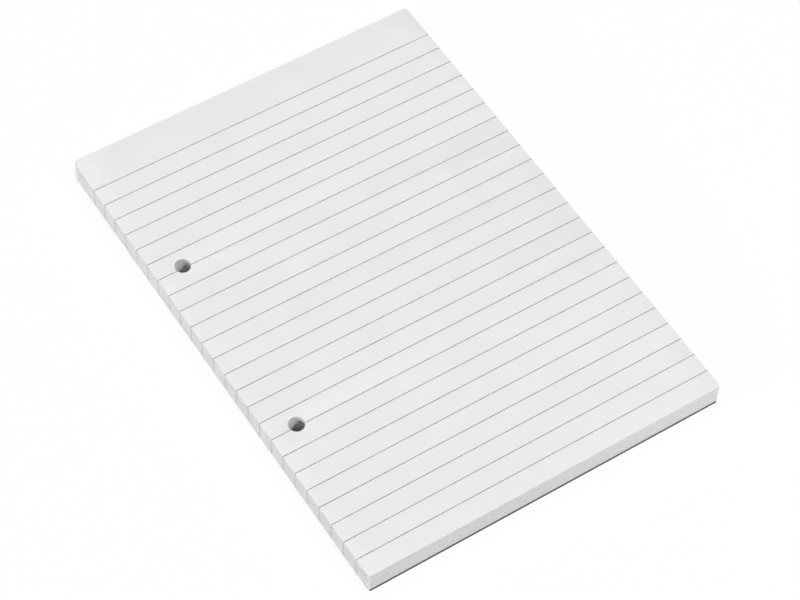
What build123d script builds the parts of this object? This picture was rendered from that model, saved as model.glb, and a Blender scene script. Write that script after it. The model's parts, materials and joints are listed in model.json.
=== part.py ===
"""Ruled writing pad: sheets glued along the head on a back board, drilled for a two-ring binder.

The pad lies face up. X runs across the page to the right, Y runs up the page to the glued head,
and Z is up, with zero at the middle of the face that rests on the table. Lengths are millimetres.
"""

from build123d import *

import os

# Sheets, trimmed from A5, with the head corners worn rounder than the foot corners
sheet_width = 148.0
sheet_height = 208.0
sheet_thickness = 0.091
sheet_count = 100
head_corner_radius = 1.5
foot_corner_radius = 0.8
top_edge_radius = 0.2

# Back board, cut a little narrower than the sheets and in line with them at the right
board_thickness = 1.5
board_inset = 0.6
board_edge_radius = 0.15

# Two binder holes, drilled through the sheets and the board in one stroke
hole_diameter = 6.0
hole_spacing = 80.0
hole_margin = 11.0
hole_row_rise = 1.0
hole_rim_radius = 0.15
hole_columns = 1
hole_rows = 2

# Film of padding glue brushed over the head and round its corners, thickest half way up
glue_edge_thickness = 0.15
glue_crown = 0.15
glue_setback = 0.3
glue_edge_radius = 0.08
glue_wrap = 0.8

# Places that the pieces share
block_thickness = sheet_count * sheet_thickness
pad_thickness = board_thickness + block_thickness
right_x = sheet_width / 2
head_y = sheet_height / 2
hole_radius = hole_diameter / 2
hole_row_x = hole_margin - right_x


def round_corners(piece: BuildPart) -> None:
    """Round the upright corners of a piece, at the foot and at the head."""
    corners = piece.edges().filter_by(Axis.Z).group_by(Axis.Y)
    fillet(corners[0], foot_corner_radius)
    fillet(corners[-1], head_corner_radius)


def drill_binder_holes() -> None:
    """Cut the binder holes through the piece that is being built."""
    with Locations((hole_row_x, hole_row_rise)):
        with GridLocations(hole_spacing, hole_spacing, hole_columns, hole_rows):
            Hole(hole_radius)


def hole_rims(piece: BuildPart) -> ShapeList:
    """Return the hole edges of a piece, lowest first: the only edges that close on themselves."""
    return piece.edges().filter_by(lambda edge: edge.is_closed).sort_by(Axis.Z)


# All the sheets, pressed together into one block
with BuildPart() as sheet_block:
    with BuildSketch(Plane.XY.offset(board_thickness)):
        Rectangle(sheet_width, sheet_height)
    extrude(amount=block_thickness)
    round_corners(sheet_block)
    fillet(sheet_block.faces().sort_by(Axis.Z)[-1].edges(), top_edge_radius)
    drill_binder_holes()
    fillet(hole_rims(sheet_block)[-hole_rows:], hole_rim_radius)
sheet_block.part.label = "sheet_block"

# Stiff board that carries the sheets
with BuildPart() as back_board:
    with BuildSketch(Plane.XY):
        with Locations((board_inset / 2, 0)):
            Rectangle(sheet_width - board_inset, sheet_height)
    extrude(amount=board_thickness)
    round_corners(back_board)
    fillet(back_board.faces().sort_by(Axis.Z)[0].edges(), board_edge_radius)
    drill_binder_holes()
    fillet(hole_rims(back_board)[:hole_rows], hole_rim_radius)
back_board.part.label = "back_board"

# Glue film, drawn along the head from one side of the sheets to the other
film_end_y = head_y - head_corner_radius - glue_wrap
film_low_z = glue_setback
film_high_z = pad_thickness - glue_setback
film_end = Plane(origin=(-right_x, film_end_y, 0), x_dir=(-1, 0, 0), z_dir=(0, 1, 0))
with BuildPart() as head_glue:
    with BuildLine():
        side_points = ((-right_x, film_end_y), (-right_x, head_y), (right_x, head_y), (right_x, film_end_y))
        FilletPolyline(*side_points, radius=head_corner_radius)
    with BuildSketch(film_end) as film_section:
        with BuildLine():
            upper_lip = (glue_edge_thickness, film_high_z)
            lower_lip = (glue_edge_thickness, film_low_z)
            crown = (glue_edge_thickness + glue_crown, (film_low_z + film_high_z) / 2)
            Polyline(upper_lip, (0, film_high_z), (0, film_low_z), lower_lip)
            ThreePointArc(lower_lip, crown, upper_lip)
        make_face()
        fillet(film_section.vertices().group_by(Axis.X)[-1], glue_edge_radius)
    sweep()
head_glue.part.label = "head_glue"

os.makedirs("parts", exist_ok=True)
for piece in (sheet_block, back_board, head_glue):
    export_step(piece.part, f"parts/{piece.part.label}.step")
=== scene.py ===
"""Looks of a ruled writing pad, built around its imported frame.

The pad is a block of ruled sheets on a grey back board, glued along the head and drilled for a
two-ring binder. Meshes are shaped in millimetres and turned into metres when they are finished,
because the fill operator takes points under about 0.03 units apart for one.
"""

import json
import logging
import math
import random
from abc import ABC, abstractmethod
from collections.abc import Iterator, Mapping, Sequence
from dataclasses import dataclass, field
from enum import Enum
from typing import Any

import bmesh
import bpy
from bmesh.types import BMEdge, BMesh, BMFace, BMVert
from mathutils import Matrix, Quaternion, Vector, noise


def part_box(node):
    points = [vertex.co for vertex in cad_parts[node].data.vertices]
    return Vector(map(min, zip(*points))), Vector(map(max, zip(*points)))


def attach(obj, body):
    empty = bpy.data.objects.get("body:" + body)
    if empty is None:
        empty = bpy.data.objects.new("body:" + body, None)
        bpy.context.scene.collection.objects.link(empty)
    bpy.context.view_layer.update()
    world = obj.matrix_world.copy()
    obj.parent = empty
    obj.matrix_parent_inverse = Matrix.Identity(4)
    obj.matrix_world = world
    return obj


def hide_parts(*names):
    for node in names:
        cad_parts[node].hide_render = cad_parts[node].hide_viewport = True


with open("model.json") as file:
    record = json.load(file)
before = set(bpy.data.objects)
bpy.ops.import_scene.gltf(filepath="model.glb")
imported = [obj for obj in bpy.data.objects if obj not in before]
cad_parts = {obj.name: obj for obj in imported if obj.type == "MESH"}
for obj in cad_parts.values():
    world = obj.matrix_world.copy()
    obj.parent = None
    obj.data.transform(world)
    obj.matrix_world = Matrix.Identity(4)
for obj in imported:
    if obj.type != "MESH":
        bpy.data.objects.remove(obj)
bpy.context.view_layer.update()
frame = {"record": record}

Colour = tuple[float, float, float, float]
Stretch = tuple[float, float, float]
Span = tuple[float, float]

LOG = logging.getLogger("writing_pad")
MM = 0.001
UNIT_GRID = 0.5  # the size that makes a grid one unit across
SHARP_ANGLE = math.radians(24)
WHITE: Colour = (1.0, 1.0, 1.0, 1.0)


def srgb(red: int, green: int, blue: int) -> Colour:
    """Turn screen levels into a linear colour by the sRGB curve.

    Args:
        red: Red level from 0 to 255.
        green: Green level from 0 to 255.
        blue: Blue level from 0 to 255.

    Returns:
        The linear colour with full alpha.
    """
    full, knee, slope, offset, power = 255, 0.04045, 12.92, 0.055, 2.4
    levels = (red / full, green / full, blue / full)
    linear = [c / slope if c <= knee else ((c + offset) / (1 + offset)) ** power for c in levels]
    return (*linear, 1.0)


def smooth_rise(share: float) -> float:
    """Return a rise from 0 to 1 that starts and ends level, as share goes from 0 to 1."""
    return share * share * (3 - 2 * share)


class Field:
    """A shader value; arithmetic on it adds Math nodes to its graph."""

    def __init__(self, graph: "Graph", socket: bpy.types.NodeSocket | None) -> None:
        """Wrap one output socket of a graph, or none for a node that ends the tree."""
        self.graph = graph
        self.socket = socket

    def __add__(self, other: "Operand") -> "Field":
        """Return the sum."""
        return self.graph.maths("ADD", self, other)

    def __radd__(self, other: "Operand") -> "Field":
        """Return the sum."""
        return self.graph.maths("ADD", other, self)

    def __sub__(self, other: "Operand") -> "Field":
        """Return the difference."""
        return self.graph.maths("SUBTRACT", self, other)

    def __rsub__(self, other: "Operand") -> "Field":
        """Return the difference the other way round."""
        return self.graph.maths("SUBTRACT", other, self)

    def __mul__(self, other: "Operand") -> "Field":
        """Return the product."""
        return self.graph.maths("MULTIPLY", self, other)

    def __rmul__(self, other: "Operand") -> "Field":
        """Return the product."""
        return self.graph.maths("MULTIPLY", other, self)

    def __lt__(self, other: "Operand") -> "Field":
        """Return 1 where the value is below the other, else 0."""
        return self.graph.maths("LESS_THAN", self, other)


Operand = Field | float
Input = Field | float | Sequence[float]


class Graph:
    """The node tree of one material or world, with the few nodes that the finishes share."""

    # Places of a Mix node's colour sockets, whose names it also gives to numbers and vectors
    MIX_SHARE, MIX_FIRST, MIX_SECOND, MIX_RESULT = 0, 6, 7, 2

    def __init__(self, owner: bpy.types.Material | bpy.types.World) -> None:
        """Empty the owner's node tree and keep it.

        Args:
            owner: The material or world.
        """
        owner.use_nodes = True
        self.tree = owner.node_tree
        self.tree.nodes.clear()

    def add(
        self,
        kind: str,
        settings: Mapping[str, Any] | None = None,
        inputs: Mapping[str | int, Input] | None = None,
        output: str | int = 0,
    ) -> Field:
        """Add one node.

        Args:
            kind: Type name of the node.
            settings: Properties of the node, set before its sockets.
            inputs: A number, a colour or a field for each socket, by name or place.
            output: The output socket to return, by name or place.

        Returns:
            The chosen output.
        """
        node = self.tree.nodes.new(kind)
        for name, value in (settings or {}).items():
            setattr(node, name, value)
        for key, value in (inputs or {}).items():
            if isinstance(value, Field):
                self.tree.links.new(value.socket, node.inputs[key])
            else:
                node.inputs[key].default_value = value
        return Field(self, node.outputs[output] if node.outputs else None)

    def maths(self, operation: str, first: Operand, second: Operand) -> Field:
        """Add a Math node for an operator and return its value."""
        return self.add("ShaderNodeMath", {"operation": operation}, {0: first, 1: second})

    def mix(self, share: Input, first: Input, second: Input) -> Field:
        """Return a colour that goes from first to second as share goes from 0 to 1."""
        sockets = {self.MIX_SHARE: share, self.MIX_FIRST: first, self.MIX_SECOND: second}
        return self.add("ShaderNodeMix", {"data_type": "RGBA"}, sockets, self.MIX_RESULT)

    @staticmethod
    def blend(first: Field, second: Field, share: float) -> Field:
        """Return the sum of a share of the first value and the rest of the second."""
        return first * share + second * (1 - share)

    def place(self, stretch: Sequence[float] = (1, 1, 1), turn: float = 0.0) -> Field:
        """Give the surface point in millimetres.

        Args:
            stretch: How far the pattern is drawn out along X, Y and Z.
            turn: Turn of the pattern about Z, in radians.

        Returns:
            The point, for a texture node's Vector socket.
        """
        point = self.add("ShaderNodeTexCoord", output="Object")
        scale = [1 / (MM * share) for share in stretch]
        inputs = {"Vector": point, "Rotation": (0, 0, turn), "Scale": scale}
        return self.add("ShaderNodeMapping", {"vector_type": "POINT"}, inputs)

    def grain(self, point: Field, size: float, detail: float, rough: float = 0.5) -> Field:
        """Return noise from 0 to 1 whose features are about size millimetres across."""
        inputs = {"Vector": point, "Scale": 1 / size, "Detail": detail, "Roughness": rough}
        return self.add("ShaderNodeTexNoise", None, inputs)

    def spots(self, point: Field, spacing: float) -> Field:
        """Return the distance to the nearest of scattered points, as a share of their spacing."""
        inputs = {"Vector": point, "Scale": 1 / spacing}
        return self.add("ShaderNodeTexVoronoi", {"feature": "F1"}, inputs, "Distance")

    def ramp(self, value: Field, span: Span) -> Field:
        """Return 0 below the span, 1 above it and a smooth rise within it."""
        inputs = {"Value": value, "From Min": span[0], "From Max": span[1]}
        return self.add("ShaderNodeMapRange", {"interpolation_type": "SMOOTHSTEP"}, inputs)

    def bump(self, height: Field, depth: float, strength: float) -> Field:
        """Return a normal raised by a height from 0 to 1 over depth millimetres."""
        inputs = {"Height": height, "Distance": depth * MM, "Strength": strength}
        return self.add("ShaderNodeBump", None, inputs, "Normal")

    def surface(self, sockets: Mapping[str, Input]) -> None:
        """End a material in a Principled shader with these sockets."""
        shader = self.add("ShaderNodeBsdfPrincipled", None, sockets)
        self.add("ShaderNodeOutputMaterial", None, {"Surface": shader})


@dataclass(frozen=True)
class Finish(ABC):
    """What a surface of the pad is made of; lengths are millimetres."""

    name: str

    def material(self) -> bpy.types.Material:
        """Make the material of this finish.

        Returns:
            The new material.
        """
        made = bpy.data.materials.new(self.name)
        self.shade(Graph(made))
        return made

    @abstractmethod
    def shade(self, graph: Graph) -> None:
        """Fill the empty node tree of the material."""


@dataclass(frozen=True)
class PageFinish(Finish):
    """Uncoated writing paper: cloudy formation, lying fibres and a few specks."""

    colour: Colour = srgb(237, 237, 237)
    cloud_colour: Colour = srgb(233, 233, 233)
    speck_colour: Colour = srgb(208, 207, 204)
    tone_span: Span = (0.3, 0.7)
    cloud_size: float = 14.0
    cloud_detail: float = 4.0
    cloud_share: float = 0.6
    fibre_size: float = 0.35
    fibre_detail: float = 3.0
    fibre_stretch: Stretch = (1.0, 3.5, 1.0)
    fibre_turn: float = 0.2
    fibre_depth: float = 0.012
    fibre_strength: float = 0.25
    speck_spacing: float = 9.0
    speck_radius: float = 0.09
    speck_share: float = 0.6
    roughness: float = 0.84
    roughness_spread: float = 0.1
    specular: float = 0.3

    def shade(self, graph: Graph) -> None:
        """Fill the node tree of the material.

        Args:
            graph: The empty tree.
        """
        point = graph.place()
        cloud = graph.grain(point, self.cloud_size, self.cloud_detail)
        lying = graph.place(self.fibre_stretch, self.fibre_turn)
        fibre = graph.grain(lying, self.fibre_size, self.fibre_detail)
        tone = graph.ramp(graph.blend(cloud, fibre, self.cloud_share), self.tone_span)
        paper = graph.mix(tone, self.colour, self.cloud_colour)
        is_speck = graph.spots(point, self.speck_spacing) < self.speck_radius / self.speck_spacing
        sockets = {
            "Base Color": graph.mix(is_speck * self.speck_share, paper, self.speck_colour),
            "Roughness": self.roughness + fibre * self.roughness_spread,
            "Specular IOR Level": self.specular,
            "Normal": graph.bump(fibre, self.fibre_depth, self.fibre_strength),
        }
        graph.surface(sockets)


@dataclass(frozen=True)
class CutEdgeFinish(Finish):
    """Trimmed edges of the sheets: bands of sheets differ in tone and the blade leaves nicks."""

    sheet_thickness: float
    colour: Colour = srgb(223, 223, 223)
    shade_colour: Colour = srgb(211, 211, 210)
    tone_span: Span = (0.35, 0.75)
    band_sheets: float = 2.0
    band_detail: float = 1.0
    band_stretch: Stretch = (60.0, 60.0, 1.0)
    band_share: float = 0.8
    nick_size: float = 0.5
    nick_detail: float = 2.0
    nick_stretch: Stretch = (1.0, 1.0, 14.0)
    nick_depth: float = 0.02
    nick_strength: float = 0.3
    ink_colour: Colour = srgb(124, 125, 128)
    ink_share: float = 0.0
    ink_least: float = 0.6
    ink_spread: float = 0.8
    roughness: float = 0.9
    roughness_spread: float = 0.08
    specular: float = 0.25

    def shade(self, graph: Graph) -> None:
        """Fill the node tree of the material.

        Args:
            graph: The empty tree.
        """
        band_size = self.sheet_thickness * self.band_sheets
        bands = graph.grain(graph.place(self.band_stretch), band_size, self.band_detail)
        nicks = graph.grain(graph.place(self.nick_stretch), self.nick_size, self.nick_detail)
        relief = graph.blend(bands, nicks, self.band_share)
        edge = graph.mix(graph.ramp(relief, self.tone_span), self.colour, self.shade_colour)
        if self.ink_share:
            ink = (self.ink_least + bands * self.ink_spread) * self.ink_share
            edge = graph.mix(ink, edge, self.ink_colour)
        sockets = {
            "Base Color": edge,
            "Roughness": self.roughness - nicks * self.roughness_spread,
            "Specular IOR Level": self.specular,
            "Normal": graph.bump(relief, self.nick_depth, self.nick_strength),
        }
        graph.surface(sockets)


@dataclass(frozen=True)
class InkedEdgeFinish(CutEdgeFinish):
    """A cut edge where a ruled line runs off the sheet."""

    ink_share: float = 0.6


@dataclass(frozen=True)
class DrilledEdgePaintedShadeFinish(CutEdgeFinish):
    """The walls of the binder holes, in broad bands of sheets; their darker tone and dark bands are
    partly painted shade of the deep holes, partly the greyer drilled paper.
    """

    colour: Colour = srgb(232, 233, 233)
    # Painted shade: this dark band colour stands partly for the shade deep inside the holes, partly
    # for the greyer drilled paper.
    shade_colour: Colour = srgb(172, 174, 174)
    band_sheets: float = 10.0


@dataclass(frozen=True)
class RulingInkFinish(Finish):
    """Thin grey ruling ink, a little uneven where the paper took it up."""

    colour: Colour = srgb(138, 139, 141)
    thin_colour: Colour = srgb(174, 175, 176)
    tone_span: Span = (0.35, 0.7)
    patch_size: float = 1.6
    patch_detail: float = 3.0
    fibre_size: float = 0.32
    fibre_detail: float = 2.0
    roughness: float = 0.7
    roughness_spread: float = 0.15
    specular: float = 0.3

    def shade(self, graph: Graph) -> None:
        """Fill the node tree of the material.

        Args:
            graph: The empty tree.
        """
        point = graph.place()
        patches = graph.grain(point, self.patch_size, self.patch_detail)
        fibre = graph.grain(point, self.fibre_size, self.fibre_detail)
        tone = graph.ramp(patches, self.tone_span)
        sockets = {
            "Base Color": graph.mix(tone, self.colour, self.thin_colour),
            "Roughness": self.roughness + fibre * self.roughness_spread,
            "Specular IOR Level": self.specular,
        }
        graph.surface(sockets)


@dataclass(frozen=True)
class GreyBoardFinish(Finish):
    """Dark grey pulp board with pale and dark fibres pressed into it."""

    colour: Colour = srgb(114, 113, 112)
    mottle_colour: Colour = srgb(107, 106, 105)
    mottle_span: Span = (0.35, 0.65)
    mottle_size: float = 6.0
    mottle_detail: float = 6.0
    mottle_rough: float = 0.65
    fibre_size: float = 0.5
    fibre_detail: float = 2.0
    fibre_share: float = 0.7
    pale_fibre_colour: Colour = srgb(154, 152, 148)
    pale_span: Span = (0.6, 0.74)
    pale_stretch: Stretch = (1.0, 5.0, 1.0)
    pale_turn: float = 0.5
    dark_fibre_colour: Colour = srgb(70, 69, 68)
    dark_span: Span = (0.62, 0.76)
    dark_stretch: Stretch = (4.0, 1.0, 1.0)
    dark_turn: float = 0.3
    relief: float = 0.06
    relief_strength: float = 0.4
    relief_mottle_share: float = 0.4
    roughness: float = 0.86
    roughness_spread: float = 0.1
    specular: float = 0.2

    def shade(self, graph: Graph) -> None:
        """Fill the node tree of the material.

        Args:
            graph: The empty tree.
        """
        mottle = graph.grain(graph.place(), self.mottle_size, self.mottle_detail, self.mottle_rough)
        pale_point = graph.place(self.pale_stretch, self.pale_turn)
        pale = graph.grain(pale_point, self.fibre_size, self.fibre_detail)
        dark_point = graph.place(self.dark_stretch, self.dark_turn)
        dark = graph.grain(dark_point, self.fibre_size, self.fibre_detail)
        board = graph.mix(graph.ramp(mottle, self.mottle_span), self.colour, self.mottle_colour)
        pale_share = graph.ramp(pale, self.pale_span) * self.fibre_share
        board = graph.mix(pale_share, board, self.pale_fibre_colour)
        dark_share = graph.ramp(dark, self.dark_span) * self.fibre_share
        board = graph.mix(dark_share, board, self.dark_fibre_colour)
        height = graph.blend(mottle, pale, self.relief_mottle_share)
        sockets = {
            "Base Color": board,
            "Roughness": self.roughness + mottle * self.roughness_spread,
            "Specular IOR Level": self.specular,
            "Normal": graph.bump(height, self.relief, self.relief_strength),
        }
        graph.surface(sockets)


@dataclass(frozen=True)
class BoardEdgePaintedShadeFinish(GreyBoardFinish):
    """The cut edge of the board, rougher, with its fibres along the plies; its darker tone is
    partly painted shade for the contact shadow along the board's foot, partly the raw cut's own
    darker look.
    """

    # Painted shade: these darker edge colours stand partly for the contact shadow under the board,
    # partly for the raw cut's own tone.
    colour: Colour = srgb(97, 96, 95)
    mottle_colour: Colour = srgb(89, 88, 87)
    pale_fibre_colour: Colour = srgb(134, 132, 128)
    pale_stretch: Stretch = (3.0, 3.0, 1.0)
    dark_fibre_colour: Colour = srgb(58, 57, 56)
    dark_stretch: Stretch = (5.0, 5.0, 1.0)


@dataclass(frozen=True)
class PaddingGlueFinish(Finish):
    """Dried padding glue: milky, half glossy, with brush streaks and small bubbles."""

    colour: Colour = srgb(223, 223, 220)
    thick_colour: Colour = srgb(209, 209, 205)
    tone_span: Span = (0.3, 0.7)
    streak_size: float = 0.7
    streak_detail: float = 3.0
    streak_stretch: Stretch = (40.0, 1.0, 1.0)
    bubble_spacing: float = 2.4
    bubble_radius: float = 0.16
    relief: float = 0.05
    relief_strength: float = 0.4
    relief_streak_share: float = 0.7
    roughness: float = 0.34
    roughness_spread: float = 0.2
    coat: float = 0.25

    def shade(self, graph: Graph) -> None:
        """Fill the node tree of the material.

        Args:
            graph: The empty tree.
        """
        brushed = graph.place(self.streak_stretch)
        streaks = graph.grain(brushed, self.streak_size, self.streak_detail)
        tone = graph.ramp(streaks, self.tone_span)
        distance = graph.spots(graph.place(), self.bubble_spacing)
        bubbles = 1 - graph.ramp(distance, (0.0, self.bubble_radius / self.bubble_spacing))
        height = graph.blend(streaks, bubbles, self.relief_streak_share)
        sockets = {
            "Base Color": graph.mix(tone, self.colour, self.thick_colour),
            "Roughness": self.roughness + streaks * self.roughness_spread,
            "Coat Weight": self.coat,
            "Normal": graph.bump(height, self.relief, self.relief_strength),
        }
        graph.surface(sockets)


class PieceName(Enum):
    """The pieces of the pad, by the names of the solids that they stand for."""

    SHEETS = "sheet_block"
    BOARD = "back_board"
    GLUE = "head_glue"


@dataclass
class PadPiece(ABC):
    """One piece of the pad, sized by the solid that it stands for; lengths are millimetres."""

    node: PieceName
    piece: str
    slot: str
    low: Vector = field(init=False)
    high: Vector = field(init=False)

    def __post_init__(self) -> None:
        """Read the size of the solid."""
        low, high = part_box(self.node.value)
        self.low = low / MM
        self.high = high / MM

    @abstractmethod
    def shape(self, bm: BMesh) -> None:
        """Model the piece in an empty mesh."""

    @abstractmethod
    def finishes(self) -> list[Finish]:
        """Give the finishes of the piece, in the order of its material slots."""

    def build(self) -> bpy.types.Object:
        """Model the piece, dress it and put it in the solid's place.

        Returns:
            The finished object, riding on the pad's one body.
        """
        bm = bmesh.new()
        self.shape(bm)
        self.close(bm)
        mesh = bpy.data.meshes.new(self.piece)
        bm.to_mesh(mesh)
        bm.free()
        for finish in self.finishes():
            mesh.materials.append(finish.material())
        made = bpy.data.objects.new(self.piece, mesh)
        bpy.context.scene.collection.objects.link(made)
        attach(made, "root")
        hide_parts(self.node.value)
        LOG.info("%s: %d faces, stands for %s", self.piece, len(mesh.polygons), self.node.value)
        return made

    @staticmethod
    def close(bm: BMesh) -> None:
        """Turn the faces outwards, mark the sharp edges and go from millimetres to metres.

        Args:
            bm: The modelled mesh.
        """
        bmesh.ops.recalc_face_normals(bm, faces=bm.faces)
        for face in bm.faces:
            face.smooth = True
        for edge in bm.edges:
            edge.smooth = edge.calc_face_angle(math.pi) < SHARP_ANGLE
        bmesh.ops.scale(bm, vec=(MM, MM, MM), verts=bm.verts)


@dataclass
class BinderHoles:
    """The two drilled holes, read from the record's round mounts."""

    centres: list[Vector]
    radius: float
    facets: int = 48
    rim_share: float = 1.5
    wall_share: float = 1.1

    @classmethod
    def from_record(cls, record: Mapping[str, Any]) -> "BinderHoles":
        """Read the places and the radius of the holes.

        Args:
            record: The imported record.

        Returns:
            The holes in millimetres.
        """
        bores = [mount for mount in record["mounts"] if mount["kind"] == "bore"]
        centres = [Vector(mount["pos_m"]) / MM for mount in bores]
        return cls(centres, bores[0]["dims"]["r_mm"])

    def lay_out(self, bm: BMesh, height: float) -> None:
        """Add the rims of the holes as loose circles.

        Args:
            bm: The mesh.
            height: Where the circles lie.
        """
        for centre in self.centres:
            place = Matrix.Translation((centre.x, centre.y, height))
            bmesh.ops.create_circle(bm, segments=self.facets, radius=self.radius, matrix=place)

    def split(self, verts: Sequence[BMVert]) -> tuple[list[BMVert], list[list[BMVert]]]:
        """Sort the points of a rim.

        Args:
            verts: Points of the outline and of the hole rims.

        Returns:
            The outline's points, and the points of each hole.
        """
        reach = self.radius * self.rim_share
        rings = [[v for v in verts if (v.co - c).xy.length < reach] for c in self.centres]
        in_rings = {v for ring in rings for v in ring}
        return [v for v in verts if v not in in_rings], rings

    def widen(self, bm: BMesh, verts: Sequence[BMVert], amount: float) -> None:
        """Open the holes at one rim.

        Args:
            bm: The mesh.
            verts: Points of the rim, with or without the outline's.
            amount: How much the radius grows; below zero narrows the holes.
        """
        wider = 1 + amount / self.radius
        _, rings = self.split(verts)
        for centre, ring in zip(self.centres, rings):
            middle = Matrix.Translation(-centre)
            bmesh.ops.scale(bm, vec=(wider, wider, 1), space=middle, verts=ring)

    def is_wall(self, point: Vector) -> bool:
        """Tell whether a point lies on the wall of a hole."""
        reach = self.radius * self.wall_share
        return any((point - centre).xy.length < reach for centre in self.centres)


@dataclass
class DrilledPiece(PadPiece):
    """A flat drilled piece whose walls are raised from its outline, layer by layer."""

    holes: BinderHoles
    head_corner_radius: float = 1.5
    foot_corner_radius: float = 0.8
    corner_facets: int = 6
    wall_length: float = 16.0
    flat_limit: float = 0.9

    @property
    def centre(self) -> Vector:
        """Give the middle of the outline."""
        return (self.low + self.high) / 2

    def outline(self, bm: BMesh, height: float) -> list[BMEdge]:
        """Lay out the outline with its rounded corners, and the hole rims.

        Args:
            bm: The empty mesh.
            height: Where the outline lies.

        Returns:
            The loose edges.
        """
        size = self.high - self.low
        place = Matrix.Translation((self.centre.x, self.centre.y, height))
        place = place @ Matrix.Diagonal((size.x, size.y, 1, 1))
        made = bmesh.ops.create_grid(bm, x_segments=1, y_segments=1, size=UNIT_GRID, matrix=place)
        foot = [v for v in made["verts"] if v.co.y < self.centre.y]
        head = [v for v in made["verts"] if v.co.y > self.centre.y]
        for corners, radius in ((foot, self.foot_corner_radius), (head, self.head_corner_radius)):
            bmesh.ops.bevel(
                bm, geom=corners, offset=radius, offset_type="OFFSET", profile=0.5,
                segments=self.corner_facets, affect="VERTICES", material=-1,
            )
        bmesh.ops.delete(bm, geom=bm.faces[:], context="FACES_ONLY")
        for edge in bm.edges[:]:
            cuts = int(edge.calc_length() / self.wall_length)
            if cuts:
                bmesh.ops.subdivide_edges(bm, edges=[edge], cuts=cuts)
        self.holes.lay_out(bm, height)
        return bm.edges[:]

    @staticmethod
    def fill(bm: BMesh, rim: list[BMEdge], normal: Sequence[float]) -> None:
        """Fill a rim and leave its holes open."""
        bmesh.ops.triangle_fill(bm, use_beauty=True, edges=rim, normal=normal)

    @staticmethod
    def extrude(
        bm: BMesh, rim: list[BMEdge], rise: float = 0.0
    ) -> tuple[list[BMEdge], list[BMVert]]:
        """Draw a strip of wall out of a rim.

        Args:
            bm: The mesh.
            rim: The edges to draw out.
            rise: How far the new rim goes up.

        Returns:
            The new rim and its points.
        """
        made = bmesh.ops.extrude_edge_only(bm, edges=rim)["geom"]
        verts = [part for part in made if isinstance(part, BMVert)]
        bmesh.ops.translate(bm, vec=(0, 0, rise), verts=verts)
        return [part for part in made if isinstance(part, BMEdge)], verts

    def draw_in(self, bm: BMesh, verts: Sequence[BMVert], amount: float) -> None:
        """Draw the outline in and open the holes.

        Args:
            bm: The mesh.
            verts: Points of one rim.
            amount: How far the rim moves into the material; below zero moves it out.
        """
        size = self.high - self.low
        outside, _ = self.holes.split(verts)
        shares = (1 - 2 * amount / size.x, 1 - 2 * amount / size.y, 1)
        middle = Matrix.Translation(-self.centre)
        bmesh.ops.scale(bm, vec=shares, space=middle, verts=outside)
        self.holes.widen(bm, verts, amount)

    def is_flat(self, face: BMFace) -> bool:
        """Tell whether a face lies level, as a page does."""
        return abs(face.normal.z) > self.flat_limit


class PageSlot(Enum):
    """Material slots of the sheets."""

    PAGE = 0
    CUT_EDGE = 1
    RULING = 2
    INKED_EDGE = 3
    DRILLED_EDGE = 4


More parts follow.
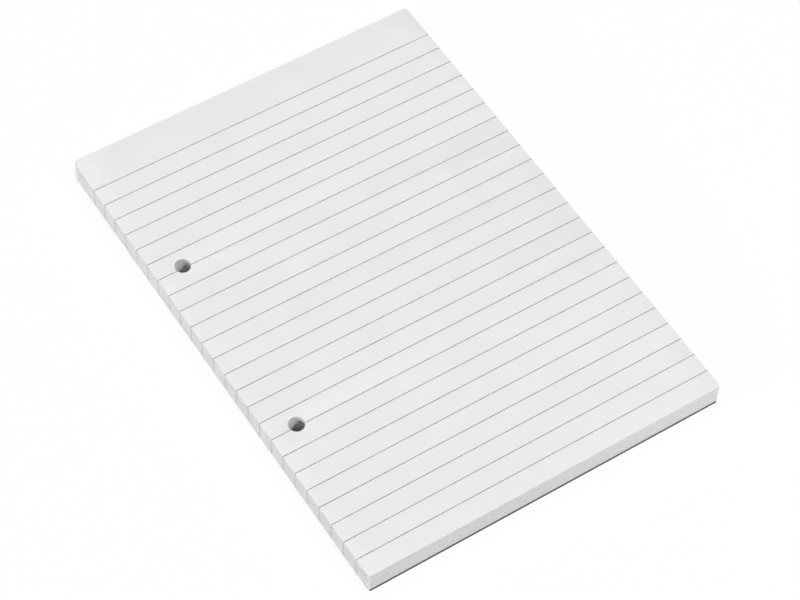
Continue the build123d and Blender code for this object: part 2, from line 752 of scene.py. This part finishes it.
@dataclass
class SheetBlock(DrilledPiece):
    """All the sheets: one closed block whose walls show every sheet's own edge."""

    sheet_count: int = 100
    line_count: int = 24
    line_pitch: float = 8.0
    line_width: float = 0.355
    line_drift: float = 0.13
    head_margin: float = 16.0
    top_edge_radius: float = 0.06
    top_edge_steps: int = 3
    turn_spread: float = 0.00007
    slide_spread: float = 0.014
    slide_ratio: float = 3.0
    inked_share: float = 0.9
    drift_share: float = 0.35
    drill_waver: float = 0.05
    drill_run: float = 7.0
    hole_flare: float = 0.06
    flare_sheets: int = 3
    cut_slack: float = 1e-6
    seed: int = 7

    @property
    def sheet_thickness(self) -> float:
        """Give the thickness of one sheet."""
        return (self.high.z - self.low.z) / self.sheet_count

    @property
    def line_places(self) -> list[float]:
        """Give how far up the page each ruled line lies."""
        first = self.high.y - self.head_margin
        return [first - self.line_pitch * row for row in range(self.line_count)]

    def shape(self, bm: BMesh) -> None:
        """Stack the sheets, close the block and rule its top.

        Args:
            bm: The empty mesh.
        """
        rim = self.outline(bm, self.low.z)
        self.fill(bm, rim, (0, 0, -1))
        rim = self.stack(bm, rim)
        rim = self.soften_top(bm, rim)
        self.fill(bm, rim, (0, 0, 1))
        self.cut_lines(bm)
        bm.normal_update()
        self.sort_faces(bm)

    def lie(self) -> Iterator[tuple[float, Vector]]:
        """Draw how each sheet lies, from the seed.

        Yields:
            The sheet's turn about the glued head, in radians, and its slide.
        """
        dice = random.Random(self.seed)
        for _ in range(self.sheet_count):
            across = dice.gauss(0, self.slide_spread)
            up = dice.gauss(0, self.slide_spread / self.slide_ratio)
            yield dice.gauss(0, self.turn_spread), Vector((across, up, 0))

    def stack(self, bm: BMesh, rim: list[BMEdge]) -> list[BMEdge]:
        """Raise the walls sheet by sheet, each sheet a little askew to the one below.

        Args:
            bm: The mesh.
            rim: The lowest rim.

        Returns:
            The rim at the top sheet's shoulder, below its rounded edge.
        """
        head = Vector((self.centre.x, self.high.y, 0))
        last_turn, last_slide = 0.0, Vector((0, 0, 0))
        verts = list({v for e in rim for v in e.verts})
        for index, (turn, slide) in enumerate(self.lie()):
            is_top = index + 1 == self.sheet_count
            if index:
                rim, verts = self.extrude(bm, rim)
            spin = Matrix.Rotation(turn - last_turn, 3, "Z")
            bmesh.ops.rotate(bm, cent=head, matrix=spin, verts=verts)
            bmesh.ops.translate(bm, vec=slide - last_slide, verts=verts)
            self.holes.widen(bm, verts, self.hole_stray(index) - self.hole_stray(index - 1))
            rise = self.sheet_thickness - (self.top_edge_radius if is_top else 0)
            rim, _ = self.extrude(bm, rim, rise)
            last_turn, last_slide = turn, slide
        return rim

    def hole_stray(self, level: int) -> float:
        """Work out how much wider than drawn the holes are at a sheet.

        Args:
            level: The number of the sheet, counted from the board.

        Returns:
            The drill's waver, which comes in runs of a few sheets, and the flare at the top ones.
        """
        waver = noise.noise((level / self.drill_run, 0, self.seed))
        rise = max(0.0, 1 - (self.sheet_count - 1 - level) / self.flare_sheets)
        return self.drill_waver * waver + self.hole_flare * rise ** 2

    def soften_top(self, bm: BMesh, rim: list[BMEdge]) -> list[BMEdge]:
        """Round the top sheet's edge and hole rims.

        Args:
            bm: The mesh.
            rim: The rim at the shoulder.

        Returns:
            The rim of the flat page.
        """
        radius, count = self.top_edge_radius, self.top_edge_steps
        steps = [math.pi / 2 * step / count for step in range(count + 1)]
        for before, after in zip(steps, steps[1:]):
            rim, verts = self.extrude(bm, rim, radius * (math.sin(after) - math.sin(before)))
            self.draw_in(bm, verts, radius * (math.cos(before) - math.cos(after)))
        return rim

    def cut_lines(self, bm: BMesh) -> None:
        """Cut the walls where ruled lines drift to, then all faces along each line's sides.

        Args:
            bm: The closed block.
        """
        half = self.line_width / 2
        walls = [face for face in bm.faces if len(face.verts) == 4]
        for place in self.line_places:
            for side in (-1, 1):
                walls = self.cut_across(bm, walls, place + side * (half + self.line_drift))
        faces = bm.faces[:]
        for place in self.line_places:
            for side in (-1, 1):
                faces = self.cut_across(bm, faces, place + side * half)

    def cut_across(self, bm: BMesh, faces: list[BMFace], plane: float) -> list[BMFace]:
        """Cut faces along a line across the page.

        Args:
            bm: The mesh.
            faces: The faces that may be cut.
            plane: How far up the page the cut lies.

        Returns:
            The faces after the cut.
        """
        edges = {edge for face in faces for edge in face.edges}
        verts = {vert for face in faces for vert in face.verts}
        made = bmesh.ops.bisect_plane(
            bm, geom=[*verts, *edges, *faces], dist=self.cut_slack,
            plane_co=(0, plane, 0), plane_no=(0, 1, 0),
        )
        return [part for part in made["geom"] if isinstance(part, BMFace)]

    def drifts(self) -> list[int | None]:
        """Draw where each sheet's ruling meets its edge, from the seed.

        Returns:
            For each sheet 1 for up, 0 for in place, -1 for down, or None where it is faint.
        """
        dice = random.Random(self.seed)
        drift = 0
        found: list[int | None] = []
        for _ in range(self.sheet_count):
            if dice.random() < self.drift_share:
                drift = max(-1, min(1, drift + dice.choice((-1, 1))))
            found.append(drift if dice.random() < self.inked_share else None)
        return found

    def sort_faces(self, bm: BMesh) -> None:
        """Give each face its slot: page, ruled line, cut edge, or a line's end on a cut edge.

        Args:
            bm: The ruled block.
        """
        drifts = self.drifts()
        places = self.line_places
        half = self.line_width / 2
        near = self.top_edge_radius / 2
        for face in bm.faces:
            middle = face.calc_center_median()
            row = round((places[0] - middle.y) / self.line_pitch)
            above = middle.y - places[max(0, min(self.line_count - 1, row))]
            level = int((middle.z - self.low.z) / self.sheet_thickness)
            is_flat = self.is_flat(face)
            if is_flat and middle.z > self.high.z - near:
                slot = PageSlot.RULING if abs(above) < half else PageSlot.PAGE
            elif is_flat and middle.z < self.low.z + near:
                slot = PageSlot.PAGE
            elif self.holes.is_wall(middle):
                slot = PageSlot.DRILLED_EDGE
            elif not is_flat and self.meets_line(above, drifts[min(level, self.sheet_count - 1)]):
                slot = PageSlot.INKED_EDGE
            else:
                slot = PageSlot.CUT_EDGE
            face.material_index = slot.value

    def meets_line(self, above: float, drift: int | None) -> bool:
        """Tell whether a place on a sheet's edge is inked.

        Args:
            above: How far the place lies above the ruled line.
            drift: Which way this sheet's ruling drifts, or None where it left no mark.

        Returns:
            True within the line's width, and on the side that it drifts to.
        """
        if drift is None:
            return False
        half = self.line_width / 2
        return abs(above) < half or (drift * above > 0 and abs(above) < half + self.line_drift)

    def finishes(self) -> list[Finish]:
        """Give the finishes of the sheets.

        Returns:
            One finish for each slot, in slot order.
        """
        return [
            PageFinish("writing_paper"),
            CutEdgeFinish("cut_paper_edge", self.sheet_thickness),
            RulingInkFinish("ruling_ink"),
            InkedEdgeFinish("inked_paper_edge", self.sheet_thickness),
            DrilledEdgePaintedShadeFinish("drilled_paper_edge", self.sheet_thickness),
        ]


class BoardSlot(Enum):
    """Material slots of the board."""

    FACE = 0
    CUT_EDGE = 1


@dataclass
class BackBoard(DrilledPiece):
    """The stiff board under the sheets, with a laminated, slightly ragged cut edge."""

    ply_count: int = 6
    edge_radius: float = 0.15
    edge_steps: int = 4
    ply_spread: float = 0.018
    seed: int = 11

    def shape(self, bm: BMesh) -> None:
        """Round the resting edge, raise the plies, close the board and sort its faces.

        Args:
            bm: The empty mesh.
        """
        rim = self.outline(bm, self.low.z)
        verts = list({v for e in rim for v in e.verts})
        self.draw_in(bm, verts, self.edge_radius)
        self.fill(bm, rim, (0, 0, -1))
        rim = self.round_edge(bm, rim)
        rim = self.raise_plies(bm, rim)
        self.fill(bm, rim, (0, 0, 1))
        bm.normal_update()
        for face in bm.faces:
            slot = BoardSlot.FACE if self.is_flat(face) else BoardSlot.CUT_EDGE
            face.material_index = slot.value

    def round_edge(self, bm: BMesh, rim: list[BMEdge]) -> list[BMEdge]:
        """Bring the resting edge out to the full outline.

        Args:
            bm: The mesh.
            rim: The rim of the resting face.

        Returns:
            The rim at the full outline.
        """
        radius, count = self.edge_radius, self.edge_steps
        steps = [math.pi / 2 * step / count for step in range(count + 1)]
        for before, after in zip(steps, steps[1:]):
            rim, verts = self.extrude(bm, rim, radius * (math.cos(before) - math.cos(after)))
            self.draw_in(bm, verts, radius * (math.sin(before) - math.sin(after)))
        return rim

    def raise_plies(self, bm: BMesh, rim: list[BMEdge]) -> list[BMEdge]:
        """Raise the cut edge ply by ply, each ply cut back a little by chance.

        Args:
            bm: The mesh.
            rim: The rim at the full outline.

        Returns:
            The top rim.
        """
        dice = random.Random(self.seed)
        rise = (self.high.z - self.low.z - self.edge_radius) / self.ply_count
        last = 0.0
        for _ in range(self.ply_count):
            depth = abs(dice.gauss(0, self.ply_spread))
            rim, verts = self.extrude(bm, rim, rise / 2)
            self.draw_in(bm, verts, depth - last)
            rim, _ = self.extrude(bm, rim, rise / 2)
            last = depth
        return rim

    def finishes(self) -> list[Finish]:
        """Give the finishes of the board, in slot order."""
        return [GreyBoardFinish("grey_board"), BoardEdgePaintedShadeFinish("grey_board_cut_edge")]


@dataclass
class HeadGlue(PadPiece):
    """The film of padding glue over the head and round its corners, with the brush's ripples.

    It is shaped as a straight strip, with its length along X and its thickness along Y, and then
    bent round the head of the sheets.
    """

    sheets: DrilledPiece
    columns: int = 420
    rows: int = 28
    lip: float = 0.15
    round_over: float = 0.3
    border_share: float = 0.3
    feather: float = 2.0
    end_share: float = 0.1
    ripple: float = 0.018
    ripple_length: float = 45.0
    ripple_height: float = 0.8

    @property
    def radius(self) -> float:
        """Give the radius of the corners that the film goes round."""
        return self.sheets.head_corner_radius

    @property
    def flat_length(self) -> float:
        """Give the length of the head between its rounded corners."""
        return self.sheets.high.x - self.sheets.low.x - 2 * self.radius

    @property
    def length(self) -> float:
        """Give the length of the film, from its end on one side to its end on the other."""
        wrap = self.sheets.high.y - self.radius - self.low.y
        return self.flat_length + math.pi * self.radius + 2 * wrap

    def shape(self, bm: BMesh) -> None:
        """Swell a strip to the film's thickness, close its back and bend it round the head.

        Args:
            bm: The empty mesh.
        """
        size = Matrix.Diagonal((self.length, self.high.z - self.low.z, 1, 1))
        place = Matrix.Translation((0, 0, (self.low.z + self.high.z) / 2))
        place = place @ Matrix.Rotation(math.pi / 2, 4, "X") @ size
        bmesh.ops.create_grid(
            bm, x_segments=self.columns, y_segments=self.rows, size=UNIT_GRID, matrix=place
        )
        made = bmesh.ops.extrude_face_region(bm, geom=bm.faces[:], use_keep_orig=True)
        for vert in (part for part in made["geom"] if isinstance(part, BMVert)):
            vert.co.y = self.thickness(vert.co)
        for vert in bm.verts:
            vert.co = self.bend(vert.co)

    def thickness(self, point: Vector) -> float:
        """Work out how thick the film is at a point of the strip.

        Args:
            point: A point on the back of the strip.

        Returns:
            The thickness, with its crown, its rounded border, its thin ends and the ripples.
        """
        full = self.high.y - self.sheets.high.y
        up = (point.z - self.low.z) / (self.high.z - self.low.z)
        crown = self.lip + (full - self.lip - self.ripple) * math.sin(math.pi * up)
        edge = min(point.z - self.low.z, self.high.z - point.z)
        share = min(1.0, max(0.0, edge) / self.round_over)
        rounded = math.sqrt(1 - (1 - share) ** 2)
        border = self.border_share + (1 - self.border_share) * rounded
        end = min(1.0, max(0.0, self.length / 2 - abs(point.x)) / self.feather)
        taper = self.end_share + (1 - self.end_share) * smooth_rise(end)
        where = Vector((point.x / self.ripple_length, 0, point.z / self.ripple_height))
        return (crown * border + self.ripple * noise.noise(where) * share) * taper

    def bend(self, point: Vector) -> Vector:
        """Move a point of the straight strip to its place round the head.

        Args:
            point: The point, with its thickness along Y.

        Returns:
            The place on the head, in a corner or on a side.
        """
        side = math.copysign(1, point.x)
        past = abs(point.x) - self.flat_length / 2
        turn = min(max(past, 0) / self.radius, math.pi / 2)
        along_side = max(past - self.radius * math.pi / 2, 0)
        reach = self.radius + point.y
        across = min(abs(point.x), self.flat_length / 2) + reach * math.sin(turn)
        up = self.sheets.high.y - self.radius + reach * math.cos(turn) - along_side
        return Vector((self.sheets.centre.x + side * across, up, point.z))

    def finishes(self) -> list[Finish]:
        """Give the one finish of the film."""
        return [PaddingGlueFinish("padding_glue")]


@dataclass(frozen=True)
class SoftLight:
    """One square lamp, aimed at the middle of the pad; lengths are metres."""

    name: str
    place: tuple[float, float, float]
    size: float
    watts: float

    def build(self) -> None:
        """Hang the lamp."""
        lamp = bpy.data.lights.new(self.name, "AREA")
        lamp.size = self.size
        lamp.energy = self.watts
        made = bpy.data.objects.new(self.name, lamp)
        made.location = self.place
        made.rotation_euler = (-Vector(self.place)).to_track_quat("-Z", "Y").to_euler()
        made.visible_camera = False
        bpy.context.scene.collection.objects.link(made)


@dataclass
class Studio:
    """A pale floor, soft light all round and the camera; lengths are metres."""

    floor_size: float = 6.0
    floor_gap: float = 0.00005
    floor_colour: Colour = srgb(246, 246, 246)
    floor_white_share: float = 0.95
    sky_strength: float = 0.1
    azimuth: float = math.radians(-34.94)
    elevation: float = math.radians(54.93)
    roll: float = math.radians(2.95)
    distance: float = 0.9712
    aim: tuple[float, float, float] = (-0.0012, -0.0098, 0.005)
    lens: float = 119.7
    sensor: float = 36.0
    lamps: tuple[SoftLight, ...] = (
        SoftLight("top_lamp", (0.45, 0.6, 1.55), 1.6, 11.2),
        SoftLight("key_lamp", (1.009, -2.775, 3.397), 0.9, 109.0),
        SoftLight("side_lamp", (-2.12, 0.0, 0.64), 0.5, 29.8),
        SoftLight("corner_lamp", (0.26, -0.26, 0.07), 0.12, 0.115),
        SoftLight("back_lamp", (0.15, 1.2, 0.22), 0.5, 1.9),
    )

    def build(self) -> None:
        """Set up the whole studio."""
        bpy.context.scene.view_settings.view_transform = "Standard"
        self.lay_floor()
        self.light()
        self.place_camera()

    @staticmethod
    def seen_share(graph: Graph) -> Field:
        """Tell the rays that show the surroundings as they are seen from those that light.

        Args:
            graph: The tree of the floor or of the sky.

        Returns:
            1 for rays that show them, else 0.
        """
        camera, glossy, clear = (
            graph.add("ShaderNodeLightPath", output=name)
            for name in ("Is Camera Ray", "Is Glossy Ray", "Is Transmission Ray")
        )
        return camera + glossy + clear

    def lay_floor(self) -> None:
        """Lay the floor just under the board."""
        bm = bmesh.new()
        place = Matrix.Translation((0, 0, -self.floor_gap))
        size = self.floor_size * UNIT_GRID
        bmesh.ops.create_grid(bm, x_segments=1, y_segments=1, size=size, matrix=place)
        mesh = bpy.data.meshes.new("studio_floor")
        bm.to_mesh(mesh)
        bm.free()
        made = bpy.data.materials.new("studio_floor")
        graph = Graph(made)
        paint = graph.add("ShaderNodeBsdfDiffuse", None, {"Color": self.floor_colour})
        white = graph.add("ShaderNodeEmission", None, {"Color": WHITE})
        share = self.seen_share(graph) * self.floor_white_share
        shader = graph.add("ShaderNodeMixShader", None, {0: share, 1: paint, 2: white})
        graph.add("ShaderNodeOutputMaterial", None, {"Surface": shader})
        mesh.materials.append(made)
        floor = bpy.data.objects.new("studio_floor", mesh)
        bpy.context.scene.collection.objects.link(floor)

    def light(self) -> None:
        """Light the pad from all round and hang the lamps."""
        world = bpy.data.worlds.new("studio_sky")
        graph = Graph(world)
        sky = {"Color": WHITE, "Strength": self.sky_strength}
        lit = graph.add("ShaderNodeBackground", None, sky)
        seen = graph.add("ShaderNodeBackground", None, {"Color": WHITE})
        share = self.seen_share(graph)
        shader = graph.add("ShaderNodeMixShader", None, {0: share, 1: lit, 2: seen})
        graph.add("ShaderNodeOutputWorld", None, {"Surface": shader})
        bpy.context.scene.world = world
        for lamp in self.lamps:
            lamp.build()

    def place_camera(self) -> None:
        """Put the camera at the photograph's viewing angle."""
        lens = bpy.data.cameras.new("photo_camera")
        lens.lens = self.lens
        lens.sensor_width = self.sensor
        made = bpy.data.objects.new("photo_camera", lens)
        level = math.cos(self.elevation)
        back = Vector((
            math.sin(self.azimuth) * level,
            -math.cos(self.azimuth) * level,
            math.sin(self.elevation),
        ))
        made.location = Vector(self.aim) + back * self.distance
        made.rotation_mode = "QUATERNION"
        straight = (-back).to_track_quat("-Z", "Y")
        made.rotation_quaternion = straight @ Quaternion((0, 0, 1), self.roll)
        bpy.context.scene.collection.objects.link(made)
        bpy.context.scene.camera = made


def main() -> None:
    """Build the pad, piece by piece, and the studio round it."""
    logging.basicConfig(level=logging.INFO, format="%(name)s: %(message)s")
    holes = BinderHoles.from_record(frame["record"])
    sheets = SheetBlock(PieceName.SHEETS, "ruled_sheets", "ruled_paper", holes)
    pieces: list[PadPiece] = [
        sheets,
        BackBoard(PieceName.BOARD, "backing_board", "grey_board", holes),
        HeadGlue(PieceName.GLUE, "padding_glue_film", "padding_glue", sheets),
    ]
    for piece in pieces:
        piece.build()
    Studio().build()


if __name__ == "__main__":
    main()
